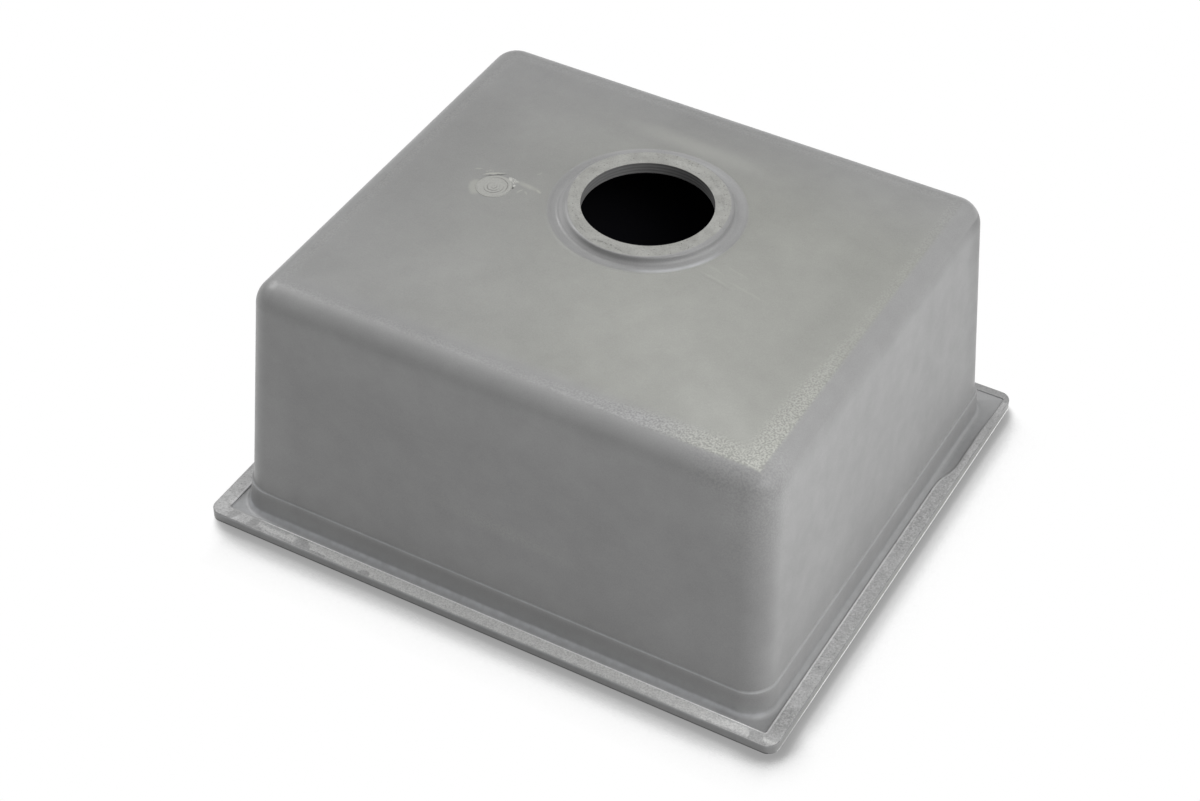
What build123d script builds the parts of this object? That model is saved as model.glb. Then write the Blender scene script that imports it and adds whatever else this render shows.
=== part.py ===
from build123d import *
import math
import os

# A single bowl kitchen sink, cast in one piece from mineral composite. It stands upside down
# on the deck face of its rim, as it is stored and stacked: z = 0 is the deck face, the open
# mouth faces down, and the underside with the drain ring faces up. X runs along the long
# side, and +Y points to the side that the drain is nearer to. All sizes are in millimetres
# and all angles in degrees.

# Rim
rim_length = 457.0
rim_width = 406.0
rim_thickness = 8.4
rim_corner_radius = 9.0
flange_width_ends = 18.0
flange_width_sides = 17.5
deck_arris = 0.8
mouth_lip_radius = 5.0

# Ground border on the back of the rim, and the groove between it and the foot step
border_width_ends = 11.0
border_width_sides = 9.8
groove_depth = 1.2
groove_corner_radius = 2.0

# Bowl, whose walls leave the back of the rim one flange width in from its edge
wall_thickness = 8.0
wall_draft = 3.4
underside_height = 207.0
outer_edge_radius = 18.5

# Foot step, the thickened band at the foot of the walls
step_height = 20.6
step_top_ledge = 1.4
step_foot_ledge = 3.4
step_corner_radius = 22.5
step_top_bevel = 0.5
step_foot_fillet = 2.0

# Floor, which falls from all four walls to the drain
floor_fall = 6.5
fall_margin = 0.3

# Drain
drain_offset = 31.5
bore_diameter = 94.0
bore_edge_chamfer = 0.4
ring_diameter = 120.5
ring_height = 5.2
ring_edge_chamfer = 0.4
moat_width = 11.75
moat_slope_width = 2.5
moat_depth = 0.8
moat_bed = 1.6
moat_fillet = 4.0
seat_diameter = 116.0
seat_depth = 4.0

# Gate mark, the low disc left where the mould was filled
gate_x = -108.5
gate_y = 2.0
gate_height = 0.5
gate_diameter = 27.0
gate_core_height = 0.4
gate_core_diameter = 9.0

bowl_length = rim_length - 2 * flange_width_ends
bowl_width = rim_width - 2 * flange_width_sides
draft_slope = math.tan(math.radians(wall_draft))
fall_top = underside_height + floor_fall
ring_top = fall_top + ring_height
seat_level = fall_top - wall_thickness + seat_depth
moat_diameter = ring_diameter + 2 * moat_width


def wall_size(z, grow=0.0):
    """Length and width over the drafted walls at height z, with each wall moved out by grow."""
    spread = 2 * (grow - (z - rim_thickness) * draft_slope)
    return bowl_length + spread, bowl_width + spread


def edges_at(shape, z):
    """The edges of a shape that lie in the level plane at height z."""
    return [edge for edge in shape.edges() if edge.bounding_box().size.Z < 0.001
            and abs(edge.center().Z - z) < 0.001]


def hole_edges(shape, z):
    """The edges round the hole in the level face at height z."""
    level = [face for face in shape.faces() if face.geom_type == GeomType.PLANE
             and abs(face.normal_at().Z) > 0.999 and abs(face.center().Z - z) < 0.001]
    widest = max(level, key=lambda face: face.bounding_box().size.X)
    return widest.inner_wires()[0].edges()


def upright_cylinder(diameter, bottom, top, x=0.0, y=drain_offset):
    """A round bar along Z from bottom to top, on the drain axis unless x and y are given."""
    return extrude(Plane.XY.offset(bottom) * Pos(x, y) * Circle(diameter / 2), top - bottom)


def drain_circle(diameter, z):
    """A circle on the drain axis in four arcs, one for each side of the bowl."""
    arcs = [CenterArc((0, drain_offset, 0), diameter / 2, 90 * side - 45, 90) for side in range(4)]
    return Plane.XY.offset(z) * make_face(arcs)


def bowl_form(grow, level, edge_radius, circle_diameter):
    """One skin of the bowl as a closed solid, with its rounded edges and its fall to the drain.

    The skin is the bowl's drafted walls moved outwards by grow, from the deck face up to the
    level plane. Above that the floor rises from the inner line of the rounded edge to a circle,
    in four facets that meet on faint creases from the corners to the drain.
    """
    block = extrude(Rectangle(*wall_size(0, grow)), level, taper=wall_draft)
    block = fillet([edge for edge in block.edges() if edge.center().Z > 0.001], edge_radius)
    inset = edge_radius * math.tan(math.radians((90 - wall_draft) / 2)) + fall_margin
    fall_foot = Plane.XY.offset(level) * Rectangle(*wall_size(level, grow - inset))
    fall = loft([fall_foot, drain_circle(circle_diameter, level + floor_fall)], ruled=True)
    return block + fall


def foot_step():
    """The thickened band at the foot of the walls, with the small ledge on its top."""
    foot = rim_thickness - groove_depth
    head = rim_thickness + step_height
    foot_size = wall_size(foot, step_foot_ledge)
    head_size = wall_size(head, step_top_ledge)
    lean = math.degrees(math.atan((foot_size[0] - head_size[0]) / 2 / (head - foot)))
    outline = Plane.XY.offset(foot) * RectangleRounded(*foot_size, step_corner_radius)
    band = extrude(outline, head - foot, taper=lean)
    return chamfer(edges_at(band, head), step_top_bevel)


def rim_plate():
    """The rim, with the groove sunk between the ground border and the foot of the bowl."""
    plate = extrude(RectangleRounded(rim_length, rim_width, rim_corner_radius), rim_thickness)
    plate = chamfer(edges_at(plate, 0), deck_arris)
    outline = RectangleRounded(rim_length - 2 * border_width_ends,
                               rim_width - 2 * border_width_sides, groove_corner_radius)
    return plate - extrude(Plane.XY.offset(rim_thickness - groove_depth) * outline, groove_depth)


def drain_ring():
    """The raised seal ring and the shallow moat round it, as one turned disc."""
    bed = fall_top - moat_bed
    moat_floor = fall_top - moat_depth
    ring = ring_diameter / 2
    with BuildPart() as disc:
        with BuildSketch(Plane.XZ):
            with BuildLine():
                Polyline((ring, moat_floor + moat_fillet), (ring, ring_top - ring_edge_chamfer),
                         (ring - ring_edge_chamfer, ring_top), (0, ring_top), (0, bed),
                         (moat_diameter / 2, bed), (moat_diameter / 2, fall_top),
                         (moat_diameter / 2 - moat_slope_width, moat_floor),
                         (ring + moat_fillet, moat_floor))
                RadiusArc((ring + moat_fillet, moat_floor), (ring, moat_floor + moat_fillet),
                          moat_fillet)
            make_face()
        revolve(axis=Axis.Z)
    return Pos(0, drain_offset, 0) * disc.part


def gate_mark(outer):
    """The gate mark: a low disc and a smaller core on it, both following the fall of the floor."""
    below = underside_height - wall_thickness
    pad = upright_cylinder(gate_diameter, below, ring_top, gate_x, gate_y)
    core = upright_cylinder(gate_core_diameter, below, ring_top, gate_x, gate_y)
    return [(Pos(0, 0, gate_height) * outer) & pad,
            (Pos(0, 0, gate_height + gate_core_height) * outer) & core]


def outside():
    """The casting's outside as a solid block: bowl, gate mark, drain ring, foot step and rim."""
    form = bowl_form(0, underside_height, outer_edge_radius, moat_diameter)
    for disc in gate_mark(form):
        form = form + disc
    form = form - upright_cylinder(moat_diameter, fall_top - moat_bed, ring_top) + drain_ring()
    form = form + foot_step() + rim_plate()
    return fillet(hole_edges(form, rim_thickness - groove_depth), step_foot_fillet)


def inside():
    """The room inside: the bowl, the strainer seat and the bore through the ring."""
    room = bowl_form(-wall_thickness, underside_height - wall_thickness,
                     outer_edge_radius - wall_thickness, seat_diameter)
    seat = upright_cylinder(seat_diameter, seat_level - 2 * seat_depth, seat_level)
    bore = upright_cylinder(bore_diameter, seat_level - seat_depth, ring_top)
    return room + seat + bore


def sink_bowl():
    """The whole casting."""
    body = outside() - inside()
    body = fillet(hole_edges(body, 0), mouth_lip_radius)
    return chamfer(hole_edges(body, ring_top), bore_edge_chamfer)


if __name__ == "__main__":
    os.makedirs("parts", exist_ok=True)
    export_step(sink_bowl(), "parts/sink_bowl.step")
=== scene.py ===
import logging
import math
from collections.abc import Callable
from dataclasses import dataclass, field
from enum import Enum

import bpy
import numpy as np
from bpy.types import Material, Node, NodeSocket, NodeTree, Object
from mathutils import Matrix, Vector, noise
from mathutils.bvhtree import BVHTree


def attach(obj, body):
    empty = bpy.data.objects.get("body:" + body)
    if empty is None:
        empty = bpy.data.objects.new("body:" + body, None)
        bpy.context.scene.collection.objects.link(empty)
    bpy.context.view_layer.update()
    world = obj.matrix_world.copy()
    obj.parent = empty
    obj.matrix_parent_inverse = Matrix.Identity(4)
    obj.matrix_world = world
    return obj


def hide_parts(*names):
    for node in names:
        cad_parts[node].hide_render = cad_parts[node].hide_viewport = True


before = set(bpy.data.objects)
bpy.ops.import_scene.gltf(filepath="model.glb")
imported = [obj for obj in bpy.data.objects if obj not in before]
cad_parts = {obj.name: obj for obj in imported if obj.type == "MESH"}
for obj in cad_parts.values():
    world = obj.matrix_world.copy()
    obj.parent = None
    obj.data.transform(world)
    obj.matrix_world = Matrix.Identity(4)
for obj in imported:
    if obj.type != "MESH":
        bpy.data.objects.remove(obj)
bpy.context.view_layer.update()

# A single bowl kitchen sink, cast in one piece from grey mineral composite. It stands upside
# down on the deck face of its rim, on a pale studio floor. The casting is one closed mesh,
# drawn as a string of closed lines: from the edge of the bore out over the seal ring, the
# fall of the floor, the rounded edge, the walls and the rim, then back under the rim and up
# through the inside of the bowl to the bore. Sizes in the classes are millimetres.

LOG = logging.getLogger("sink")
MM = 0.001


# Helpers


def linear(hex_colour: str) -> tuple[float, float, float, float]:
    """Turns an sRGB hex colour into the linear colour that the shader sockets take.

    Args:
        hex_colour: Six hex digits, with or without a leading #.

    Returns:
        Linear red, green and blue with an alpha of 1.
    """
    digits = hex_colour.lstrip("#")
    channels = [int(digits[i:i + 2], 16) / 255 for i in (0, 2, 4)]
    curve = [c / 12.92 if c <= 0.04045 else ((c + 0.055) / 1.055) ** 2.4 for c in channels]
    return curve[0], curve[1], curve[2], 1.0


def pitch(size_mm: float) -> float:
    """Returns the texture scale at which a pattern's features are about size_mm across."""
    return 1 / (size_mm * MM)


def add_node(tree: NodeTree, kind: str, inputs: dict | tuple = (), **settings: object) -> Node:
    """Adds one shader node with its settings, socket values and links.

    Args:
        tree: The material's or the world's node tree.
        kind: The node type's name without its ShaderNode prefix.
        inputs: What goes into its sockets, in their order or by their names: a value, an output
            socket, or a node whose first output is meant.
        **settings: Properties of the node itself.

    Returns:
        The new node.
    """
    node = tree.nodes.new("ShaderNode" + kind)
    for name, value in settings.items():
        setattr(node, name, value)
    for key, value in inputs.items() if isinstance(inputs, dict) else enumerate(inputs):
        if isinstance(value, Node):
            value = next(socket for socket in value.outputs if socket.enabled)
        if isinstance(value, NodeSocket):
            tree.links.new(value, node.inputs[key])
        else:
            node.inputs[key].default_value = value
    return node


def make_material(name: str, surface: Callable[[NodeTree], Node]) -> Material:
    """Builds a material.

    Args:
        name: The material's name.
        surface: Draws the surface in a node tree and returns its shader.

    Returns:
        The finished material.
    """
    material = bpy.data.materials.new(name)
    material.use_nodes = True
    material.node_tree.nodes.clear()
    add_node(material.node_tree, "OutputMaterial", {"Surface": surface(material.node_tree)})
    return material


def add_mesh(name: str, points: list, faces: list, **masks: np.ndarray) -> Object:
    """Puts a smoothly shaded mesh in the scene.

    Args:
        name: The name of the mesh and of its object.
        points: Its points in metres.
        faces: Its faces, each a row of point numbers.
        **masks: Attributes with one number for each point.

    Returns:
        The object.
    """
    mesh = bpy.data.meshes.new(name)
    mesh.from_pydata(points, [], faces)
    mesh.polygons.foreach_set("use_smooth", np.ones(len(faces), bool))
    for key, values in masks.items():
        layer = mesh.attributes.new(key, "FLOAT", "POINT")
        layer.data.foreach_set("value", values.ravel().astype(np.float32))
    mesh.update()
    thing = bpy.data.objects.new(name, mesh)
    bpy.context.scene.collection.objects.link(thing)
    return thing


def ramp(begin: float, full: float, value: np.ndarray) -> np.ndarray:
    """Rises smoothly from 0 to 1.

    Args:
        begin: Where the result leaves 0.
        full: Where the result reaches 1. It may be lower than begin.
        value: The values to map.

    Returns:
        The mapped values, from 0 to 1.
    """
    t = np.clip((value - begin) / (full - begin), 0, 1)
    return t * t * (3 - 2 * t)


def bell(value: np.ndarray, at: float, spread: float, power: int = 2) -> np.ndarray:
    """Peaks at 1 and falls off to either side.

    Args:
        value: The values to map.
        at: Where the peak is.
        spread: How far from the peak the result has fallen to about a third.
        power: 2 for a round peak, 4 for one with a flatter top.

    Returns:
        The mapped values, from 0 to 1.
    """
    return np.exp(-((value - at) / spread) ** power)


class Finish(Enum):
    """The finishes that the casting has, in the order of its material slots."""

    CAST = 0
    RING = 1
    BORDER = 2
    EDGE = 3
    ARRIS = 4
    SHOW = 5


# The casting's mesh


@dataclass
class Walk:
    """How many points each closed line has along the sides and round the corners.

    The sides run +X, +Y, -X, -Y, and a corner follows each.
    """

    sides: tuple[int, int, int, int] = (116, 128, 116, 128)
    corner: int = 18
    corner_spread: float = 7.0

    def outline(self, half_x: float, half_y: float, radius: float) -> np.ndarray:
        """Points of a rounded rectangle centred on the Z axis.

        Args:
            half_x: Half its length.
            half_y: Half its width.
            radius: Its corner radius.

        Returns:
            An array of x, y rows, anticlockwise from the start of the +X side.
        """
        cx, cy = half_x - radius, half_y - radius
        centres = [(cx, cy), (-cx, cy), (-cx, -cy), (cx, -cy)]
        starts = [(half_x, -cy), (cx, half_y), (-half_x, cy), (-cx, -half_y)]
        ends = [(half_x, cy), (-cx, half_y), (-half_x, -cy), (cx, -half_y)]
        rows = []
        for side, count in enumerate(self.sides):
            t = np.arange(count)[:, None] / count
            rows.append(np.array(starts[side]) * (1 - t) + np.array(ends[side]) * t)
            angle = math.pi / 2 * (side + np.arange(self.corner) / self.corner)
            arc = np.stack([np.cos(angle), np.sin(angle)], 1)
            rows.append(np.array(centres[side]) + radius * arc)
        return np.concatenate(rows)

    def angles(self, corner: tuple[float, float], offset: float) -> np.ndarray:
        """Directions from the drain axis that match the points of an outline.

        Args:
            corner: The outline's corner in +X and +Y.
            offset: The drain axis's place along Y.

        Returns:
            One angle in radians for each point.
        """
        x, y = corner
        marks = [math.atan2(-y - offset, x), math.atan2(y - offset, x),
                 math.pi - math.atan2(y - offset, x), math.pi - math.atan2(-y - offset, x)]
        spread = math.radians(self.corner_spread)
        rows = []
        for side, count in enumerate(self.sides):
            begin = marks[side] + spread
            end = marks[(side + 1) % 4] - spread + (2 * math.pi if side == 3 else 0)
            rows.append(begin + (end - begin) * np.arange(count) / count)
            rows.append(end + 2 * spread * np.arange(self.corner) / self.corner)
        return np.concatenate(rows)


@dataclass
class Rim:
    """The flat rim, with the ground border and the groove on its back."""

    half_length: float = 228.5
    half_width: float = 203.0
    thickness: float = 8.4
    corner_radius: float = 9.0
    border_ends: float = 11.0
    border_sides: float = 9.8
    groove_depth: float = 1.2
    groove_corner: float = 2.5
    arris: float = 0.8
    foot_flare: float = 0.3


@dataclass
class Bowl:
    """The bowl's walls, rounded edges and floor, outside and inside."""

    half_length: float = 210.5
    half_width: float = 185.5
    height: float = 207.0
    wall: float = 8.0
    draft: float = 3.4
    edge_radius: float = 18.5
    flat_corner: float = 2.0
    fall: float = 6.5
    ridge_blend: float = 0.1
    lip_radius: float = 5.0
    step_head: float = 29.0
    step_ledge: float = 1.4
    step_foot: float = 1.8
    step_foot_corner: float = 21.5
    foot_fillet: float = 4.4
    waviness: float = 0.07

    def half_at(self, z: float, grow: float = 0.0) -> tuple[float, float]:
        """Half the length and width over the drafted walls, as stated at the rim's back.

        Args:
            z: The height above the deck face.
            grow: How far the walls are moved out.

        Returns:
            Half the length and half the width.
        """
        lean = (z - Rim.thickness) * math.tan(math.radians(self.draft))
        return self.half_length + grow - lean, self.half_width + grow - lean


@dataclass
class Drain:
    """The seal ring, the moat round it, the bore and the strainer seat inside.

    Grinding took less off the ring's right, so its edge is rounder there, and the front left was
    rubbed down to a soft slope.
    """

    offset: float = 31.5
    bore: float = 47.0
    bore_edge: float = 0.2
    bore_rings: float = 0.15
    bore_turns: float = 2.4
    ring: float = 60.25
    ring_height: float = 5.2
    ring_edge: float = 0.8
    round_edge: float = 3.4
    round_drop: float = 2.2
    round_at: float = -12.0
    round_spread: float = 46.0
    worn_at: float = 210.0
    worn_spread: float = 40.0
    worn_from: float = 56.0
    worn_to: float = 65.0
    moat: float = 70.6
    moat_bed: float = 66.0
    moat_depth: float = 0.8
    moat_fillet: float = 3.6
    moat_bead: float = 0.45
    bead_width: float = 1.3
    seat: float = 58.0
    seat_depth: float = 4.0

    def lobe(self, angles: np.ndarray, at: float, spread: float) -> np.ndarray:
        """A share from 0 to 1 for each direction, highest at one of them.

        Args:
            angles: Directions from the drain axis in radians.
            at: The direction of the highest share in degrees.
            spread: How many degrees to either side the share has fallen to about a third.

        Returns:
            One share for each direction.
        """
        away = (np.degrees(angles) - at + 180) % 360 - 180
        return np.exp(-(away / spread) ** 2)


@dataclass
class GateMark:
    """The low disc where the mould was filled, faced off with a cutter that left its rings.

    It is its own small mesh, fine enough for the rings, and its foot is sunk in the floor.
    """

    x: float = -107.9
    y: float = 2.9
    radius: float = 13.5
    height: float = 0.42
    sink: float = 0.5
    ring_pitch: float = 2.5
    ring_depth: float = 0.2
    core: float = 4.2
    core_height: float = 0.22
    segments: int = 150

    def lift(self, r: np.ndarray, angle: np.ndarray) -> np.ndarray:
        """The height of the mark over the floor.

        Args:
            r: Distances from its centre in millimetres.
            angle: Directions from its centre in radians.

        Returns:
            The heights in millimetres.
        """
        disc = ramp(self.radius, self.radius - 0.9, r)
        core = self.core_height * ramp(self.core + 0.5, self.core - 0.4, r)
        return (self.height + self.sink - self.groove(r, angle)) * disc - self.sink + core

    def groove(self, r: np.ndarray, angle: np.ndarray) -> np.ndarray:
        """The depth of the cutter's rings, which come and go round the disc.

        Args:
            r: Distances from its centre in millimetres.
            angle: Directions from its centre in radians.

        Returns:
            The depths in millimetres.
        """
        turns = (r + 0.25 * np.sin(angle * 2 + 0.8) + 0.12 * np.sin(angle * 7)) / self.ring_pitch
        wave = 0.5 + 0.5 * np.cos(2 * math.pi * turns)
        ring = np.round(turns)
        strength = np.clip(0.25 + 0.75 * np.sin(angle + ring * ring * 2.4), 0, 1)
        inner = ramp(self.radius - 0.8, self.radius - 2.2, r)
        return self.ring_depth * wave ** 3 * strength * inner

    def build(self, sink: Object) -> Object:
        """Draws the disc on the floor of the casting.

        Args:
            sink: The casting.

        Returns:
            The mark, with the grooves' depth as an attribute of its points.
        """
        shoulder = self.radius - 1.2
        radii = np.concatenate([np.arange(0.3, shoulder, 0.26),
                                np.arange(shoulder, self.radius + 0.25, 0.15)])
        angle = 2 * math.pi * np.arange(self.segments) / self.segments
        rr, aa = np.meshgrid(radii, angle, indexing="ij")
        x, y = self.x + rr * np.cos(aa), self.y + rr * np.sin(aa)
        floor = BVHTree.FromPolygons([v.co for v in sink.data.vertices],
                                     [p.vertices for p in sink.data.polygons])
        points = []
        for px, py, pz in zip(x.ravel(), y.ravel(), self.lift(rr, aa).ravel()):
            hit = floor.ray_cast(Vector((px * MM, py * MM, 1.0)), Vector((0, 0, -1)))[0]
            points.append((px * MM, py * MM, hit.z + pz * MM))
        rows, cols = rr.shape
        foot = sum(p[2] for p in points[-cols:]) / cols - MM
        middle = len(points)
        points += [(self.x * MM, self.y * MM, points[0][2]), (self.x * MM, self.y * MM, foot)]
        faces = []
        for j in range(cols):
            k = (j + 1) % cols
            faces.append((middle, j, k))
            for i in range(0, (rows - 1) * cols, cols):
                faces.append((i + j, i + cols + j, i + cols + k, i + k))
            faces.append(((rows - 1) * cols + j, middle + 1, (rows - 1) * cols + k))
        depth = self.groove(rr, aa).ravel() / self.ring_depth
        LOG.info("gate_mark: %d rings of %d points", rows, cols)
        return add_mesh("gate_mark", points, faces, groove=np.append(depth, (0.0, 0.0)))

    def dress(self, mark: Object) -> None:
        """Gives the mark its cut face."""
        mark.data.materials.append(CutFace().make("composite_cut_face"))


@dataclass(frozen=True)
class Patch:
    """A soft round patch on the underside, painted a little paler or darker as light, shade and
    cloudiness.
    """

    at: tuple[float, float]
    reach: tuple[float, float]
    gain: float

    def gain_at(self, x: np.ndarray, y: np.ndarray) -> np.ndarray:
        """How much paler the skin is, as a share of its colour.

        Args:
            x: Places along X.
            y: Places along Y.

        Returns:
            One share for each place, negative where the skin is darker.
        """
        away = ((x - self.at[0]) / self.reach[0]) ** 2 + ((y - self.at[1]) / self.reach[1]) ** 2
        return self.gain * np.exp(-away / 2)


# Painted light and shade on the level floor, brightest towards its front right corner and darker at
# its left and back, with cloudy places where the mix settled
FLOOR_LIGHT_PATCHES = (
    Patch((70, -75), (60, 50), 0.13),
    Patch((195, -170), (40, 40), 0.34),
    Patch((0, 150), (60, 14), -0.05),
    Patch((-75, 90), (30, 22), 0.06),
    Patch((-150, 40), (16, 40), -0.06),
    Patch((-60, -90), (28, 25), 0.04),
    Patch((-90, -135), (60, 14), -0.05),
    Patch((140, -135), (22, 20), 0.1),
    Patch((90, 15), (14, 40), 0.05),
    Patch((182, -20), (12, 60), 0.08),
    Patch((-175, 20), (26, 60), -0.06),
    Patch((125, 30), (22, 70), 0.07),
    Patch((90, -95), (50, 25), 0.05),
)


@dataclass(frozen=True)
class RingLight:
    """A stretch of the ring or the moat with painted light, or with painted shade where the gain is
    negative.

    It has a direction and a spread in degrees, and four distances from the drain axis in
    millimetres: where it begins, is full, starts to fade and ends.
    """

    gain: float
    at: float
    spread: float
    begin: float
    full: float
    fade: float
    end: float

    def gain_at(self, drain: Drain, around: np.ndarray, way: np.ndarray) -> np.ndarray:
        """How much paler the skin is, as a share of its colour.

        Args:
            drain: The drain, which knows the directions.
            around: Distances from the drain axis.
            way: Directions from the drain axis in radians.

        Returns:
            One share for each place, negative where the skin is darker.
        """
        across = ramp(self.begin, self.full, around) * ramp(self.end, self.fade, around)
        return self.gain * drain.lobe(way, self.at, self.spread) * across


# Painted light and shade on the ring and its moat: painted light on the ring's left and front
# and on the moat's right, where the lamps leave shade, and painted shade below the ring's front.
# The third is the ring's side, painted paler right up to its edges.
RING_PAINTED_LIGHT = (
    RingLight(0.27, 183, 36, 57, 59.5, 62.5, 66.5),
    RingLight(0.25, 228, 24, 57, 59, 61.5, 63),
    RingLight(0.16, 240, 75, 60.09999, 60.1, 61.89999, 61.9),
    RingLight(0.14, 0, 34, 60.5, 62, 68, 69.6),
    RingLight(-0.16, 278, 34, 58.5, 59.8, 60.5, 61),
    RingLight(-0.06, 262, 40, 61.5, 62.5, 65.5, 66.5),
)


@dataclass
class SkinState:
    """The state of the skin at every point of the casting, as moulding and handling left it, with
    the light and shade painted on it.
    """

    rim: Rim
    bowl: Bowl
    drain: Drain
    flat: tuple[float, float]
    x: np.ndarray
    y: np.ndarray
    z: np.ndarray

    def __post_init__(self) -> None:
        """Measures the points from the floor's border, its front right corner and the drain."""
        rx, ry = self.flat
        self.inside = np.minimum(rx - np.abs(self.x), ry - np.abs(self.y))
        self.level = ramp(-4.6, -3.4, self.inside) * (self.z > 203)
        self.corner = np.hypot(self.x - rx, self.y + ry)
        self.around = np.hypot(self.x, self.y - self.drain.offset)
        self.way = np.arctan2(self.y - self.drain.offset, self.x)

    def masks(self) -> dict[str, np.ndarray]:
        """Everything that the cast skin's material reads from the mesh.

        Returns:
            One array of strengths for each mask's name.
        """
        # The painted light and shade, the floor's cloudiness and the bore's cutter rings make one
        # tone
        shade = self.floor_shade() + self.wall_shade() + self.rim_shade() + self.drain_shade()
        return {"pebble_and_glint": self.pebble_and_glint(), "film": self.film(), "painted_light_and_tone": 1 + shade,
                "painted_light": self.painted_light()}

    def pebble_and_glint(self) -> np.ndarray:
        """How deeply the skin is pebbled, and how strongly glints are painted on the pebbles' tips,
        most of all round the floor's front right corner.

        The pebbles lie along the border of the level floor, and thinly on the rounded edge
        and the wall's corner below it.

        Returns:
            One strength from 0 to 1 for each point.
        """
        (rx, ry), x, y, z = self.flat, self.x, self.y, self.z
        near = ramp(170, 30, self.corner)
        width = 6 + 11 * near
        front_right = np.where(rx - np.abs(x) < ry - np.abs(y), x, -y) > 0
        strength = np.where(front_right, 0.3 + 0.7 * near, 0.25)
        border = strength * ramp(width, width * 0.4, self.inside) * self.level
        rounded = 0.26 * ramp(60, 25, self.corner) * (y < -ry) * ramp(182, 194, z)
        column = 0.28 * ramp(30, 16, self.corner) * ramp(60, 190, z) * (self.inside < -4)
        return np.maximum.reduce([border, rounded, column])

    def film(self) -> np.ndarray:
        """How thickly a pale film of dust and release wax lies on the level floor.

        Returns:
            One strength from 0 to 1 for each point.
        """
        film = self.level * ramp(self.drain.moat - 1.5, self.drain.moat + 1, self.around)
        film = film * ramp(-260, 60, self.x) * ramp(190, 60, self.y)
        return film * np.maximum(ramp(90, 30, self.corner), ramp(3, 17, self.flat[1] + self.y))

    def floor_shade(self) -> np.ndarray:
        """The painted light and shade on the level floor, as a share of the skin's colour."""
        return self.level * (sum(p.gain_at(self.x, self.y) for p in FLOOR_LIGHT_PATCHES) - 0.075)

    def wall_shade(self) -> np.ndarray:
        """The painted light and shade on the walls and the foot step, as a share of the skin's
        colour.

        Returns:
            One share for each point, negative where the skin is darker.
        """
        (rx, ry), x, y, z = self.flat, self.x, self.y, self.z
        # Painted light at the right shoulder and the right wall's front; painted shade along the
        # front wall, on the step and towards the right wall's back and top
        shoulder = ramp(-2, -6, self.inside) * (x > rx) * bell(y, -ry, 62)
        shade = 0.1 * shoulder * ramp(100, 180, z) * ramp(-ry - 4, -ry + 10, y)
        front = ramp(-ry - 4, -ry - 16, y) * ramp(14, 26, z) * ramp(175, 135, z)
        shade -= front * (0.08 * ramp(-178, -160, x) + 0.02 * ramp(-60, -110, x))
        step = ramp(9.5, 11.5, z) * ramp(28, 24, z) * (y < -ry - 8)
        shade -= (0.05 + 0.05 * bell(x, 0, 90)) * step
        turned = np.degrees(np.arctan2(-ry - y, x - rx))
        right = ramp(70, 25, turned) * (x > rx) * ramp(9, 13, z) * (z < 198)
        near = 0.09 * ramp(-60, -140, y) * ramp(120, 50, z) + 0.045 * bell(y, -88, 40)
        far = 0.13 + 0.17 * ramp(135, 180, z) - 0.14 * ramp(60, 30, z)
        return shade + right * (near - 0.07 * ramp(20, 130, y) - far * ramp(132, 162, y))

    def rim_shade(self) -> np.ndarray:
        """The painted light and shade on the groove, the seam beside the border and the rim's edge.

        Returns:
            One share for each point, negative where the skin is darker.
        """
        # Painted shade in the deep groove; painted light on its walls, the seam and the rim's right
        # side; painted shade along the foot of the rim's front
        x, y, z, r = self.x, self.y, self.z, self.rim
        groove = (z > 7) * (z < 8.3)
        shade = -0.16 * ramp(70, 130, y) * (x > 206) * groove
        shade -= 0.24 * ramp(-196, -206, x) * ramp(-130, -165, y) * groove
        turned = np.hypot(x - self.bowl.half_length, y + self.bowl.half_width)
        shade -= 0.12 * ramp(46, 20, turned) * groove * (z < 8.0)
        shade += 0.11 * (x > 227) * (z < 7.9) - 0.5 * (y < -202) * (z < 1.9)
        wall_at = r.half_length - r.border_ends - 0.83
        wall = (np.abs(np.abs(x) - wall_at) < 0.06) * (z > 7.3) * (z < 8.2)
        ends = np.where(x > 0, ramp(-100, -165, y), 1.3 * ramp(-60, -110, y))
        seam = (y < -190.6) * (y > -191.9) * (z < 8.2) * ramp(214, 206, np.abs(x))
        return shade + 0.35 * wall * ends + seam * (0.18 + 0.2 * ramp(-176, -186, x))

    def drain_shade(self) -> np.ndarray:
        """The painted light and shade on the ring and the moat, painted shade at the back of the
        bore, and how dark the bore's cutter rings are.

        Returns:
            One share for each point, negative where the skin is darker.
        """
        d = self.drain
        worn_and_lit = sum(ring_light.gain_at(d, self.around, self.way) for ring_light in RING_PAINTED_LIGHT) * (self.z > 205)
        rings = 0.2 * (0.5 - 0.5 * np.cos((self.z - 205.5) * d.bore_turns))
        # Painted shade at the back of the bore
        back = 0.33 * ramp(-60, 60, self.y - d.offset)
        return worn_and_lit - (back + rings) * (self.around < d.bore + 0.25)

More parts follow.
